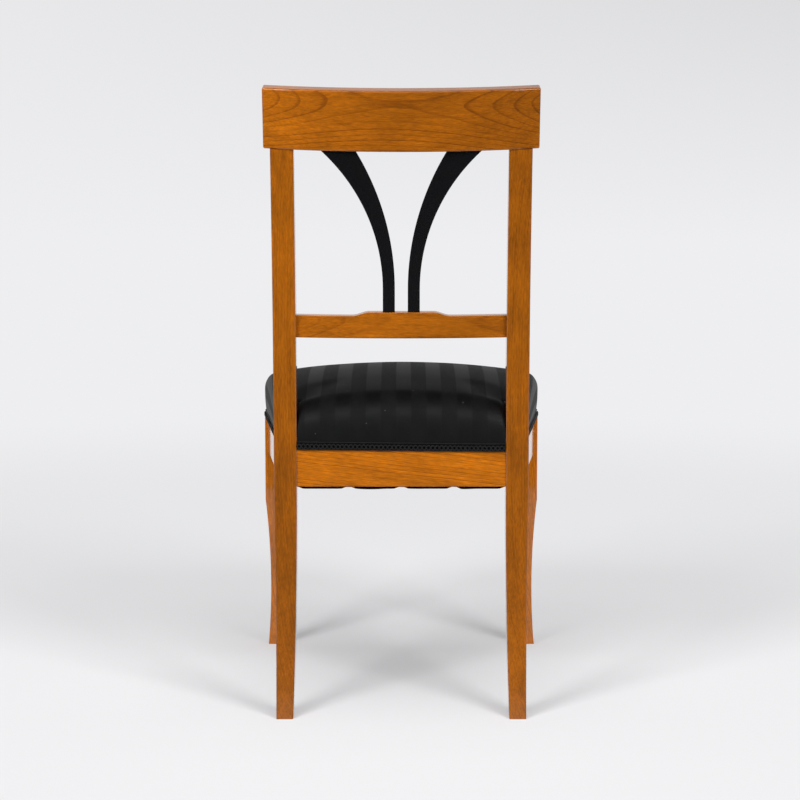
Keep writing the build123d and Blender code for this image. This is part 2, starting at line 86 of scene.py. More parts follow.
class ChairSeat(bpy.types.PropertyGroup):
    """Sizes of the upholstery."""
    stripe_width: a_length("Stripe width", "Width of one satin stripe", 21.9)
    stripe_shift: a_length("Stripe shift", "How far the middle stripe lies off the middle", -3.5)
    roll: a_length("Side roll", "How far in from the sides the seat starts to roll", 10)
    end_roll: a_length("End roll", "How far in from front and back the seat starts to roll", 34)
    roll_drop: a_length("Side roll drop", "Height of the rolled edge at the sides", 16)
    end_drop: a_length("End roll drop", "Height of the rolled edge at front and back", 28)
    post_roll: a_length("Roll at posts", "Radius of the edge that is tucked in at a post", 9)
    post_depth: a_length("Post depth", "How far the cover reaches back beside a post", 33.2)
    post_gap: a_length("Gap at posts", "Room between the cover and a post", 0.6)
    corner_radius: a_length("Corner radius", "Radius of the front corners in plan", 19.6)
    rise_across: a_length("Crown across", "Rise of the seat from its sides to its middle", 17)
    rise_along: a_length("Crown along", "Rise of the seat from front and back to its middle", 26)
    bulge: a_length("Side fullness", "How far the sides swell out over the braid", 2.5)
    belly: a_length("Border fullness", "How far the border swells between braid and roll", 0.4)
    tuck: a_length("Pull at posts", "How far the cloth is pulled down beside a post", 3)
    tuck_reach: a_length("Reach of the pull", "How far from a post the pull is felt", 30)
    fold: a_length("Pull folds", "Height of the folds that fan out from a post", 0.1)
    lumps: a_length("Lumps", "Unevenness of the stuffing", 0.4)
    hem: a_length("Hem", "Height of the cover's lower edge over that of the braid", 3)
    swell: a_length("Swell", "Most that the cloth may move when it is inflated", 2.5)
    ease: a_length("Ease", "How much lower the cloth starts before it is inflated", 2.6)
    mesh_step: a_length("Mesh step", "Distance between the points of the cloth", 7)
    wall_rows: bpy.props.IntProperty(
        name="Wall rows", description="Rows of points from the rolled edge down to the braid", default=9)


class ChairTrim(bpy.types.PropertyGroup):
    """Sizes of the braid and the cloth below the seat."""
    eye_pitch: a_length("Eye pitch", "Length of one eye of the braid", 6.2)
    eye_cord: a_length("Eye cord", "Thickness of the cords that make the eyes", 1.7)
    eye_rise: a_length("Eye rise", "How far the cords swing up and down", 3.0)
    eye_middle: a_length("Eye middle", "Height of the eyes over the lower edge of the braid", 5.2)
    edge_cord: a_length("Edge cord", "Thickness of the cords along both edges", 1.3)
    tape: a_length("Tape", "Thickness of the tape behind the cords", 0.5)
    back_tilt: a_length("Back tilt", "How far the back braid is off level at each end", 1.5)
    wander: a_length("Wander", "How far the braid strays from a level line", 0.7)
    overlap: a_length("Overlap", "How far the cloth below the seat covers the ends of the webbing", 8.3)
    hem_rise: a_length("Hem rise", "Width over which the cloth below the seat rises to the rails", 24)
    slack: a_length("Slack", "How far the cloth hangs loose between its tacks", 1.6)
    sag: a_length("Sag", "Sag of the cloth below the seat", 5)


class ChairColours(bpy.types.PropertyGroup):
    """Colours of the finishes."""
    cherry: a_colour("Cherry", "Early wood of the cherry", "#BA680A")
    cherry_line: a_colour("Cherry line", "Late wood that ends a ring", "#7E3E03")
    lacquer: a_colour("Lacquer", "Black lacquer", "#101012")
    satin: a_colour("Satin stripe", "Smooth stripe of the seat cover", "#050506")
    rib: a_colour("Ribbed stripe", "Dull stripe of the seat cover", "#0C0C0D")
    braid: a_colour("Braid", "Cords of the braid", "#171718")
    backdrop: a_colour("Backdrop", "Pale studio backdrop and floor", "#EEEEF0")


class ChairStage(bpy.types.PropertyGroup):
    """Camera and lights."""
    camera_back: a_length("Camera distance", "Distance of the camera behind the chair", 3185.1)
    camera_height: a_length("Camera height", "Height of the camera over the floor", 802.9)
    camera_pitch: bpy.props.FloatProperty(
        name="Camera pitch", description="How far the camera looks down", default=math.radians(6.621),
        subtype="ANGLE")
    lens: bpy.props.FloatProperty(
        name="Lens", description="Focal length on a 36 mm frame", default=95.0, unit="CAMERA")
    left_light: a_share("Left light", "Share of full light from the softbox at the picture's left", 0.46)
    right_light: a_share("Right light", "Share of full light from the softbox at the picture's right", 0.43)
    top_light: a_share("Top light", "Share of full light from the softbox over the chair", 0.5)


def chair():
    """The settings of the chair in this scene."""
    return bpy.context.scene.chair


def feed(tree, node, inputs):
    """Give the inputs of a node their values, or links from sockets or from the first outputs of nodes."""
    for socket, value in inputs.items() if isinstance(inputs, dict) else enumerate(inputs):
        if isinstance(value, bpy.types.Node):
            value = value.outputs[0]
        if isinstance(value, bpy.types.NodeSocket):
            tree.links.new(value, node.inputs[socket])
        else:
            node.inputs[socket].default_value = value


# The inputs 1 and 2 of a Map Range node are the range that it takes, and 3 and 4 the range that it gives. The
# inputs 2 and 3 of a Mix node are its two numbers, and 6 and 7 its two colours.
def add(tree, kind, inputs=(), stops=(), **settings):
    """Add a node with its settings, its inputs, and the stops of its ramp, each a hex colour or a grey."""
    node = tree.nodes.new("ShaderNode" + kind)
    for name, value in settings.items():
        setattr(node, name, value)
    feed(tree, node, inputs)
    for i, (place, colour) in enumerate(stops):
        ramp = node.color_ramp.elements
        element = ramp[i] if i < len(ramp) else ramp.new(place)
        element.position = place
        element.color = hex_colour(colour) if isinstance(colour, str) else (*[colour] * 3, 1.0)
    return node


def finish_named(name, values):
    """A new material with one principled shader and its plain values, with its tree and that shader."""
    material = bpy.data.materials.new(name)
    material.use_nodes = True
    tree = material.node_tree
    shader = tree.nodes["Principled BSDF"]
    feed(tree, shader, values)
    return material, tree, shader


# Cherry, sawn, planed and French polished: warm honey wood, thin dark lines where a ring ends, short fibres
# along the grain, drawn coarser than they are, slow clouds of tone, and a polish that mirrors at a low angle.
def cherry(board, pith, grain, ring, lines, tone, seed):
    colours = chair().colours
    material, tree, shader = finish_named(f"polished_cherry_{board}", {
        "Roughness": 0.45, "IOR": 1.5, "Specular IOR Level": 0.1,
        "Coat Weight": 1.0, "Coat Roughness": 0.07, "Coat IOR": 1.5})
    waver_width, waver_depth = 60 * MM, 9 * MM
    fibre_width, streak_width, cloud_width = 1.3 * MM, 5 * MM, 32 * MM
    tone_reach = 200 * MM
    line_depths = ((0.0, 0.2), (0.05, 0.0), (0.5, 0.04), (0.8, 0.16), (0.92, 1.0), (0.98, 1.0))
    grain = Vector(grain).normalized()
    place = add(tree, "TexCoord").outputs["Object"]
    rel = add(tree, "VectorMath", (place, pith), operation="SUBTRACT")
    along = add(tree, "VectorMath", (rel, grain), operation="DOT_PRODUCT").outputs["Value"]

    def streaks(length_ratio, width, detail):
        """Noise of a width, drawn out along the grain."""
        squeeze = add(tree, "Math", (along, 1 / length_ratio - 1), operation="MULTIPLY")
        shift = add(tree, "VectorMath", {0: grain, "Scale": squeeze}, operation="SCALE")
        moved = add(tree, "VectorMath", (rel, shift), operation="ADD")
        own = add(tree, "VectorMath", (moved, (seed, 2 * seed, -seed)), operation="ADD")
        return add(tree, "TexNoise", {"Vector": own, "Scale": 1 / width, "Detail": detail})

    waver = streaks(5, waver_width, 2.0)
    across = add(tree, "VectorMath", (rel, grain), operation="CROSS_PRODUCT")
    radius = add(tree, "VectorMath", (across,), operation="LENGTH").outputs["Value"]
    bent = add(tree, "Math", (waver, waver_depth, radius), operation="MULTIPLY_ADD")
    turns = add(tree, "Math", (bent, 1 / ring), operation="MULTIPLY")
    year = add(tree, "Math", (turns,), operation="FLOOR")
    in_year = add(tree, "Math", (turns,), operation="FRACT")
    chance = add(tree, "TexWhiteNoise", {"W": year}, noise_dimensions="1D")
    line = add(tree, "ValToRGB", {"Fac": in_year}, stops=line_depths)
    strength = add(tree, "MapRange", {"Value": chance, 3: 0.2 * lines, 4: lines})
    depth = add(tree, "Math", (line, strength), operation="MULTIPLY")
    wood = add(tree, "Mix", {"Factor": depth, 6: colours.cherry, 7: colours.cherry_line},
               data_type="RGBA").outputs[2]
    fibre = streaks(8, fibre_width, 4.0)
    # Painted shade in part: each board is darker towards one end of its tone.
    shade = add(tree, "MapRange", {"Value": along, 1: -tone_reach, 2: tone_reach, 3: tone[0], 4: tone[1]})
    for pattern, darkest, palest in ((fibre, 0.74, 1.18), (streaks(16, streak_width, 3.0), 0.85, 1.12),
                                     (streaks(2.2, cloud_width, 3.0), 0.86, 1.13)):
        factor = add(tree, "MapRange", {"Value": pattern, 1: 0.3, 2: 0.7, 3: darkest, 4: palest})
        shade = add(tree, "Math", (shade, factor), operation="MULTIPLY")
    tinted = add(tree, "VectorMath", {0: wood, "Scale": shade}, operation="SCALE")
    relief = add(tree, "Bump", {"Height": fibre, "Strength": 0.12, "Distance": 0.05 * MM})
    feed(tree, shader, {"Base Color": tinted, "Normal": relief})
    return material


# Shellac over black stain on a hard close wood: deep black, satin, with a trace of the brush and some dust.
def black_lacquer():
    material, tree, shader = finish_named("black_lacquered_wood", {"IOR": 1.5})
    place = add(tree, "TexCoord").outputs["Object"]
    brush = add(tree, "Mapping", {"Vector": place, "Scale": (1.0, 1.0, 0.03)})
    strokes = add(tree, "TexNoise", {"Vector": brush, "Scale": 1 / (1.6 * MM), "Detail": 2.0})
    dust = add(tree, "TexNoise", {"Vector": place, "Scale": 1 / (2.2 * MM), "Detail": 1.0})
    specks = add(tree, "MapRange", {"Value": dust, 1: 0.78, 2: 0.86, 3: 0.0, 4: 0.3})
    colour = add(tree, "Mix", {"Factor": specks, 6: chair().colours.lacquer, 7: hex_colour("#3A3938")},
                 data_type="RGBA").outputs[2]
    satin = add(tree, "MapRange", {"Value": strokes, 1: 0.3, 2: 0.7, 3: 0.22, 4: 0.27})
    relief = add(tree, "Bump", {"Height": strokes, "Strength": 0.04, "Distance": 0.05 * MM})
    feed(tree, shader, {"Base Color": colour, "Roughness": satin, "Normal": relief})
    return material


# Beech, sawn and left raw: pale, short brown flecks along the grain, no gloss.
def raw_beech():
    material, tree, shader = finish_named("raw_beech", {"Roughness": 0.75})
    place = add(tree, "TexCoord").outputs["Object"]
    drawn = add(tree, "Mapping", {"Vector": place, "Scale": (0.12, 1.0, 1.0)})
    flecks = add(tree, "TexNoise", {"Vector": drawn, "Scale": 1 / (1.1 * MM), "Detail": 3.0})
    colour = add(tree, "ValToRGB", {"Fac": flecks}, stops=((0.35, "#8A5F3A"), (0.6, "#C99C6C")))
    relief = add(tree, "Bump", {"Height": flecks, "Strength": 0.3, "Distance": 0.2 * MM})
    feed(tree, shader, {"Base Color": colour, "Normal": relief})
    return material


# Jute, spun and plainly woven: dull straw colour, with threads far coarser than in other cloth.
def jute(name, thread):
    material, tree, shader = finish_named(name, {"Roughness": 0.9})
    place = add(tree, "TexCoord").outputs["Object"]
    threads = {"Vector": place, "Scale": WAVE / thread, "Distortion": 1.5}
    warp, weft = (add(tree, "TexWave", threads, bands_direction=way).outputs["Fac"] for way in "XY")
    weave = add(tree, "Math", (warp, weft), operation="MULTIPLY")
    colour = add(tree, "ValToRGB", {"Fac": weave}, stops=((0.0, "#6E5232"), (0.7, "#B99563")))
    relief = add(tree, "Bump", {"Height": weave, "Strength": 0.6, "Distance": thread / 3})
    feed(tree, shader, {"Base Color": colour, "Normal": relief})
    return material


# Steel wire, drawn and oil tempered: dark grey metal with a brownish bloom.
def spring_wire():
    material, tree, shader = finish_named("tempered_spring_steel", {"Metallic": 1.0})
    place = add(tree, "TexCoord").outputs["Object"]
    bloom = add(tree, "TexNoise", {"Vector": place, "Scale": 1 / (9 * MM), "Detail": 4.0})
    colour = add(tree, "ValToRGB", {"Fac": bloom}, stops=((0.4, "#4C4744"), (0.65, "#75604E")))
    rough = add(tree, "MapRange", {"Value": bloom, 3: 0.3, 4: 0.6})
    feed(tree, shader, {"Base Color": colour, "Roughness": rough})
    return material


# Silk satin, woven with smooth warp-faced stripes between dull ribbed ones, all in black: the smooth stripes
# mirror more at a low angle and less when seen straight on. Threads are drawn about four times too coarse.
def striped_satin():
    seat, colours = chair().seat, chair().colours
    material, tree, shader = finish_named("striped_black_satin",
                                          {"Sheen Weight": 0.006, "Sheen Roughness": 0.4})
    thread_width, rib_width, wear_width, lint_gap = 0.9 * MM, 1.4 * MM, 30 * MM, 55 * MM
    soft_edge = 0.12
    cloth = add(tree, "UVMap", uv_map="weave")
    across = add(tree, "SeparateXYZ", (cloth,))
    shifted = add(tree, "Math", (across, -seat.stripe_shift), operation="ADD")
    turns = add(tree, "Math", (shifted, math.pi / seat.stripe_width), operation="MULTIPLY")
    swing = add(tree, "Math", (turns,), operation="COSINE")
    smooth = add(tree, "MapRange", {"Value": swing, 1: -soft_edge, 2: soft_edge, 3: 0.0, 4: 1.0})
    threads = add(tree, "Mapping", {"Vector": cloth, "Scale": (1.0, 0.12, 1.0)})
    floats = add(tree, "TexNoise", {"Vector": threads, "Scale": 1 / thread_width, "Detail": 2.0},
                 noise_dimensions="2D")
    ribs = add(tree, "TexWave", {"Vector": cloth, "Scale": WAVE / rib_width, "Distortion": 0.6},
               bands_direction="Y").outputs["Fac"]
    weave = add(tree, "Mix", {"Factor": smooth, 2: ribs, 3: floats})
    worn = add(tree, "TexNoise", {"Vector": cloth, "Scale": 1 / wear_width, "Detail": 3.0},
               noise_dimensions="2D")
    base = add(tree, "Mix", {"Factor": smooth, 6: colours.rib, 7: colours.satin}, data_type="RGBA").outputs[2]
    tone = add(tree, "MapRange", {"Value": worn, 1: 0.3, 2: 0.7, 3: 0.8, 4: 1.25})
    grain = add(tree, "MapRange", {"Value": weave, 3: 0.8, 4: 1.2})
    shade = add(tree, "Math", (tone, grain), operation="MULTIPLY")
    toned = add(tree, "VectorMath", {0: base, "Scale": shade}, operation="SCALE")
    lint = add(tree, "TexVoronoi", {"Vector": cloth, "Scale": 1 / lint_gap}, voronoi_dimensions="2D")
    speck = add(tree, "MapRange", {"Value": lint, 1: 0.01, 2: 0.018, 3: 0.25, 4: 0.0})
    dusty = add(tree, "Mix", {"Factor": speck, 6: toned, 7: hex_colour("#8A8784")}, data_type="RGBA")
    rough = add(tree, "MapRange", {"Value": smooth, 3: 0.66, 4: 0.55})
    gloss = add(tree, "MapRange", {"Value": smooth, 3: 0.15, 4: 0.21})
    relief = add(tree, "Bump", {"Height": weave, "Strength": 0.25, "Distance": 0.2 * MM})
    feed(tree, shader, {"Base Color": dusty.outputs[2], "Roughness": rough, "Specular IOR Level": gloss,
                        "Normal": relief})
    return material


# Cotton cord, twisted and woven to a gimp: black, dull, with a faint silky edge on each twist, partly from a
# sheen and partly painted:
# each twist is painted lighter on its ridge, a painted sheen, and darker in its groove, painted shade.
def twisted_cord():
    material, tree, shader = finish_named("black_gimp_cord", {
        "Roughness": 0.6, "Specular IOR Level": 0.25, "Sheen Weight": 0.05, "Sheen Roughness": 0.4})
    place = add(tree, "TexCoord").outputs["Object"]
    twist = add(tree, "TexWave", {"Vector": place, "Scale": WAVE / (1.1 * MM), "Distortion": 2.0},
                bands_direction="DIAGONAL").outputs["Fac"]
    # Painted sheen on the ridge of each twist and painted shade in its groove.
    tone = add(tree, "MapRange", {"Value": twist, 3: 0.6, 4: 1.4})
    toned = add(tree, "VectorMath", {0: chair().colours.braid[:3], "Scale": tone}, operation="SCALE")
    relief = add(tree, "Bump", {"Height": twist, "Strength": 0.4, "Distance": 0.3 * MM})
    feed(tree, shader, {"Base Color": toned, "Normal": relief})
    return material


# Cotton tape behind the cords of the gimp: dull black in the gaps, with fine ribs that are drawn coarser.
# The tape is painted darker than the cords: painted shade in the eyes of the braid.
def gimp_tape_in_painted_shade():
    material, tree, shader = finish_named("black_gimp_tape_in_painted_shade", {"Roughness": 0.9, "Specular IOR Level": 0.1})
    place = add(tree, "TexCoord").outputs["Object"]
    ribs = add(tree, "TexWave", {"Vector": place, "Scale": WAVE / (1.0 * MM)}, bands_direction="Z")
    # Painted shade: nearly black, darker than the cords.
    colour = add(tree, "ValToRGB", {"Fac": ribs.outputs["Fac"]}, stops=((0.0, "#060606"), (1.0, "#0D0D0E")))
    feed(tree, shader, {"Base Color": colour})
    return material


# Cambric, a thin plain cotton weave dyed black: dull, with a faint grid of threads and some dust. Threads are
# drawn about five times too coarse.
def black_cambric():
    material, tree, shader = finish_named("black_cambric", {"Roughness": 0.85, "Specular IOR Level": 0.2})
    place = add(tree, "TexCoord").outputs["Object"]
    threads = {"Vector": place, "Scale": WAVE / (1.0 * MM), "Distortion": 0.8}
    warp, weft = (add(tree, "TexWave", threads, bands_direction=way).outputs["Fac"] for way in "XY")
    weave = add(tree, "Math", (warp, weft), operation="ADD")
    dust = add(tree, "TexNoise", {"Vector": place, "Scale": 1 / (45 * MM), "Detail": 4.0})
    colour = add(tree, "ValToRGB", {"Fac": dust}, stops=((0.35, "#121213"), (0.75, "#2B2926")))
    relief = add(tree, "Bump", {"Height": weave, "Strength": 0.4, "Distance": 0.2 * MM})
    feed(tree, shader, {"Base Color": colour, "Normal": relief})
    return material


def new_piece(name, mesh, material, slot, *stands_for):
    """Put a new mesh on the chair, in a finish, in place of CAD nodes."""
    piece = bpy.data.objects.new(name, mesh)
    bpy.context.scene.collection.objects.link(piece)
    mesh.materials.append(material)
    for polygon in mesh.polygons:
        polygon.use_smooth = True
    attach(piece, BODY)
    if stands_for:
        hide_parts(*stands_for)
    return piece


def dress(node, material):
    """Give a CAD node a finish."""
    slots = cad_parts[node].data.materials
    slots.clear()
    slots.append(material)


class CHAIR_OT_cherry_frame(bpy.types.Operator):
    """Give every board of the frame its own cherry, with rings about the pith that it was sawn from"""
    bl_idname = "chair.cherry_frame"
    bl_label = "Cherry frame"

    def execute(self, context):
        crest_low, crest_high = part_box("crest_rail")
        stay_low, stay_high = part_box("stay_rail")
        back_low, back_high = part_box("back_seat_rail")
        front_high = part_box("front_seat_rail")[1]
        # It paints the crest, stay and back rail lighter towards the picture's left, and the posts darker
        # towards the foot.
        # The tone at both ends is partly the board's own tone and partly painted shade where the light falls
        # off.
        # Node, board, pith, grain, ring width in mm, strength of the ring lines, tone at both ends, seed
        boards = [
            ("crest_rail", "crest", (0, crest_high.y - 60 * MM, crest_low.z + 80 * MM),
             (1, 0, 0.025), 5.2, 0.8, (0.7, 1.1), 3.1),
            ("stay_rail", "stay", (0, stay_low.y - 40 * MM, stay_high.z - 8 * MM),
             (1, 0.04, 0.02), 4.2, 0.4, (0.68, 0.93), 7.7),
            ("back_seat_rail", "back_rail", (0, back_low.y - 70 * MM, back_high.z + 90 * MM),
             (1, 0, 0.12), 4.6, 0.9, (0.97, 1.06), 1.3),
            ("front_seat_rail", "front_rail", (0, front_high.y + 70 * MM, front_high.z + 60 * MM),
             (1, 0, 0.03), 4.4, 0.7, (1.0, 1.05), 5.2),
        ]
        # The posts' tones make them darker towards the foot: partly their own tone, partly painted shade.
        for side, sign, tone in (("left", 1, (0.5, 0.84)), ("right", -1, (0.58, 0.71))):
            post_low, post_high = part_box(f"{side}_back_post")
            leg_low, leg_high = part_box(f"{side}_front_leg")
            side_low, side_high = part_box(f"{side}_side_rail")
            post_middle, side_middle = (post_low.x + post_high.x) / 2, (side_low.x + side_high.x) / 2
            boards += [
                (f"{side}_back_post", f"{side}_post",
                 (post_middle - 160 * MM, post_low.y - 60 * MM, 450 * MM),
                 (0.004 * sign, 0.05, 1), 3.4, 0.6, tone, 11.0 + sign),
                (f"{side}_front_leg", f"{side}_leg",
                 (leg_low.x - 50 * MM, leg_high.y + 70 * MM, 200 * MM),
                 (0.02, 0.03 * sign, 1), 4.5, 0.6, (0.98, 1.02), 17.0 + sign),
                (f"{side}_side_rail", f"{side}_rail",
                 (side_middle - 60 * MM * sign, 0, side_high.z + 50 * MM),
                 (0.1 * sign, -1, 0.03), 4.4, 0.7, (0.97, 1.03), 23.0 + sign),
            ]
        for node, board, pith, grain, ring, lines, tone, seed in boards:
            dress(node, cherry(board, pith, grain, ring * MM, lines, tone, seed))
        return {"FINISHED"}


class CHAIR_OT_splats(bpy.types.Operator):
    """Lacquer both splats black"""
    bl_idname = "chair.splats"
    bl_label = "Black splats"

    def execute(self, context):
        lacquer = black_lacquer()
        for node in ("left_splat", "right_splat"):
            dress(node, lacquer)
        return {"FINISHED"}


class CHAIR_OT_inner_seat(bpy.types.Operator):
    """Finish what lies inside the seat: blocks, webbing, springs and canvas"""
    bl_idname = "chair.inner_seat"
    bl_label = "Inside of the seat"

    def execute(self, context):
        inside = {
            "corner_block": raw_beech(),
            "webbing": jute("jute_webbing", 1.6 * MM),
            "seat_springs": spring_wire(),
            "spring_canvas": jute("jute_canvas", 1.2 * MM),
        }
        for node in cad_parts:
            for part, material in inside.items():
                if part in node:
                    dress(node, material)
        return {"FINISHED"}


def seat_lines():
    """Places that the seat is drawn from, read from the frame."""
    seat = chair().seat
    low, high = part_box("seat_cover")
    bottom = [v.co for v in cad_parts["seat_cover"].data.vertices if v.co.z < low.z + 1 * MM]
    widest = max(bottom, key=lambda p: p.x)
    behind = max((p for p in bottom if p.y > widest.y + 200 * MM), key=lambda p: p.x)
    post_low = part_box("left_back_post")[0]
    braid_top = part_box("back_braid")[1].z
    return {
        "low": low, "high": high, "side": widest, "slope": (widest.x - behind.x) / (widest.y - behind.y),
        "inner": post_low.x - seat.post_gap, "notch": high.y - seat.post_depth, "braid_top": braid_top,
    }


def side_x(lines, y):
    """Half width of the seat cover at its lower edge, with its front corners rounded off."""
    radius = chair().seat.corner_radius
    into_corner = min(max(0.0, lines["low"].y + radius - y), radius)
    cut = radius - math.sqrt(radius ** 2 - into_corner ** 2)
    return lines["side"].x + lines["slope"] * (y - lines["side"].y) - cut


def rolled(radius, turns):
    """Distances from an edge, close together where a rolled edge turns down."""
    return [radius * (1 - math.cos(math.pi / 2 * i / turns)) for i in range(turns + 1)]


def between(start, end, step):
    """Places between two places, about a step apart, without the two."""
    count = max(1, round(abs(end - start) / step))
    return [start + (end - start) * i / count for i in range(1, count)]


def seat_height(lines, x, y):
    """Height of the stuffed seat over a place in plan."""
    seat = chair().seat
    folds, lump_width, corner_power = 9, 55 * MM, 4
    back, front = lines["high"].y, lines["low"].y
    middle = (back + front) / 2
    half = side_x(lines, y) + seat.bulge
    across = x / half
    along = (y - middle) / (back - middle)
    height = lines["high"].z - seat.ease - seat.rise_across * across ** 2 - seat.rise_along * along ** 2
    at_side = max(0.0, 1 - max(0.0, half - abs(x)) / seat.roll) ** corner_power
    at_end = max(0.0, 1 - max(0.0, min(back - y, y - front)) / seat.end_roll) ** corner_power
    if at_side + at_end > 0:
        turn = min(1.0, (at_side + at_end) ** (1 / corner_power))
        drop = (at_side * seat.roll_drop + at_end * seat.end_drop) / (at_side + at_end)
        height -= drop * (1 - math.sqrt(1 - turn ** 2))
    beside = Vector((max(0.0, lines["inner"] - abs(x)), max(0.0, lines["notch"] - y)))
    turn = max(0.0, 1 - beside.length / seat.post_roll)
    height -= seat.post_roll * (1 - math.sqrt(1 - turn ** 2))
    pull = math.exp(-((beside.length / seat.tuck_reach) ** 2))
    fan = math.cos(folds * math.atan2(beside.x, beside.y + 1 * MM) + 3 * x / seat.tuck_reach)
    height -= seat.tuck * pull + seat.fold * fan * math.sqrt(pull) * (1 - pull)
    return height + seat.lumps * noise.noise(Vector((x, y, 0.3)) / lump_width)


def cloth_place(lines, x, y):
    """The cloth's own coordinates over a place in plan: lengths along the cloth, round its rolled edges."""
    seat = chair().seat

    def wrapped(place, edge, roll, drop):
        """The same place, measured along the cloth and round the rolled edge."""
        start = edge - roll
        if abs(place) <= start:
            return place
        turn = math.asin(min(1.0, (abs(place) - start) / roll))
        return math.copysign(start + (roll + drop) / 2 * turn, place)

    middle = (lines["high"].y + lines["low"].y) / 2
    return (wrapped(x, side_x(lines, y) + seat.bulge, seat.roll, seat.roll_drop),
            wrapped(y - middle, lines["high"].y - middle, seat.end_roll, seat.end_drop))


def walk(corners):
    """Grid places along straight runs from corner to corner, all the way round."""
    path = []
    for (i, j), (p, q) in zip(corners, corners[1:] + corners[:1]):
        count = max(abs(p - i), abs(q - j))
        path += [(i + (p - i) * k // count, j + (q - j) * k // count) for k in range(count)]
    return path


def seat_grid(lines):
    """Depths of the rows, places of the columns at the posts, and where in the grid the posts stand."""
    seat = chair().seat
    back, front = lines["high"].y, lines["low"].y
    inner, notch = lines["inner"], lines["notch"]
    wide = side_x(lines, notch) + seat.bulge
    side_steps, end_steps, post_steps = 7, 9, 4
    side_turn, end_turn = rolled(seat.roll, side_steps), rolled(seat.end_roll, end_steps)
    post_turn = rolled(seat.post_roll, post_steps)
    rows = [back - d for d in end_turn if back - d > notch + 2 * MM]
    post_row = len(rows)
    rows += [notch - d for d in post_turn]
    rows += between(rows[-1], front + seat.end_roll, seat.mesh_step)
    rows += [front + d for d in reversed(end_turn)]
    half = between(0, inner - seat.post_roll, seat.mesh_step)
    half += [inner - d for d in reversed(post_turn)]
    post_column = len(half)
    half += between(inner, wide - seat.roll, seat.mesh_step)
    half += [wide - d for d in reversed(side_turn)]
    columns = [-x for x in reversed(half)] + [0.0] + half
    middle = len(half)
    return rows, columns, post_row, middle - post_column, middle + post_column


def seat_mesh():
    """The stuffed seat as one skin: a crowned top with room for the posts, and walls down to the braid."""
    seat = chair().seat
    lines = seat_lines()
    rows, columns, post_row, post_left, post_right = seat_grid(lines)
    wide = columns[-1]
    points, cloth, pins, faces, index = [], [], [], [], {}
    for j, y in enumerate(rows):
        stretch = (side_x(lines, y) + seat.bulge) / wide if j >= post_row else 1.0
        for i, column in enumerate(columns):
            if j < post_row and not post_left <= i <= post_right:
                continue
            x = column * stretch
            index[i, j] = len(points)
            points.append(Vector((x, y, seat_height(lines, x, y))))
            cloth.append(cloth_place(lines, x, y))
            pins.append(0.0)
    for i, j in index:
        square = [(i, j), (i, j + 1), (i + 1, j + 1), (i + 1, j)]
        if all(place in index for place in square):
            faces.append(tuple(index[place] for place in square))
    last_column, last_row = len(columns) - 1, len(rows) - 1
    edge = walk([(post_left, 0), (post_right, 0), (post_right, post_row), (last_column, post_row),
                 (last_column, last_row), (0, last_row), (0, post_row), (post_left, post_row)])
    above = [index[place] for place in edge]
    count = len(above)
    bottom = lines["low"].z + seat.hem
    for row in range(1, seat.wall_rows + 1):
        share = 1 - row / seat.wall_rows
        below = []
        for k, (i, j) in enumerate(edge):
            top = points[index[i, j]]
            onward = points[index[edge[(k + 1) % count]]] - points[index[edge[k - 1]]]
            outward = Vector((-onward.y, onward.x, 0)).normalized()
            z = bottom + (top.z - bottom) * share
            full = min(1.0, max(0.0, (z - lines["braid_top"]) / (top.z - lines["braid_top"])))
            at_post = abs(top.x) > lines["inner"] - 1 * MM and top.y > lines["notch"] - 1 * MM
            on_side = abs(outward.x) > abs(outward.y)
            belly = 0.0 if at_post else seat.belly * math.sin(math.pi * full)
            drawn_in = seat.bulge * (1 - full) if on_side and not at_post else 0.0
            spot = top + outward * (belly - drawn_in)
            below.append(len(points))
            points.append(Vector((spot.x, spot.y, z)))
            u, v = cloth[index[i, j]]
            drop = top.z - z
            cloth.append((u + math.copysign(drop, u), v) if on_side else (u, v + math.copysign(drop, v)))
            pins.append(1.0 if at_post or z < lines["braid_top"] else 0.0)
        for k in range(count):
            n = (k + 1) % count
            faces.append((above[k], above[n], below[n], below[k]))
        above = below
    mesh = bpy.data.meshes.new("seat_cover")
    mesh.from_pydata(points, [], faces)
    weave = mesh.uv_layers.new(name="weave")
    for loop in mesh.loops:
        weave.data[loop.index].uv = cloth[loop.vertex_index]
    return mesh, pins


def inflate(piece, pins, most):
    """Let the stuffing press the cloth outwards against its tacked edges, and keep the result."""
    scene = bpy.context.scene
    rest = [v.co.copy() for v in piece.data.vertices]
    group = piece.vertex_groups.new(name="tacked")
    for index, weight in enumerate(pins):
        group.add([index], weight, "REPLACE")
    modifier = piece.modifiers.new("Stuffing", "CLOTH")
    settings = modifier.settings
    settings.use_pressure = True
    settings.uniform_pressure_force = 3.0
    settings.effector_weights.gravity = 0.0
    settings.vertex_group_mass = "tacked"
    settings.quality = 6
    settings.tension_stiffness = 40.0
    settings.compression_stiffness = 40.0
    settings.bending_stiffness = 10.0
    first, steps = 1, 16
    modifier.point_cache.frame_start = first
    modifier.point_cache.frame_end = first + steps
    for step in range(steps):
        scene.frame_set(first + step)
    depsgraph = bpy.context.evaluated_depsgraph_get()
    puffed = [v.co.copy() for v in piece.evaluated_get(depsgraph).data.vertices]
    piece.modifiers.remove(modifier)
    scene.frame_set(first)
    for vertex, start, end in zip(piece.data.vertices, rest, puffed):
        move = end - start
        vertex.co = start + move * most / (most + move.length)
    piece.vertex_groups.remove(group)


class CHAIR_OT_seat(bpy.types.Operator):
    """Upholster the seat in striped satin"""
    bl_idname = "chair.seat"
    bl_label = "Seat cover"

    def execute(self, context):
        mesh, pins = seat_mesh()
        piece = new_piece("satin_seat", mesh, striped_satin(), "striped_satin",
                          "seat_cover", "seat_stuffing")
        inflate(piece, pins, chair().seat.swell)
        smooth = piece.modifiers.new("Smooth cloth", "SUBSURF")
        smooth.levels = 1
        smooth.render_levels = 1
        return {"FINISHED"}


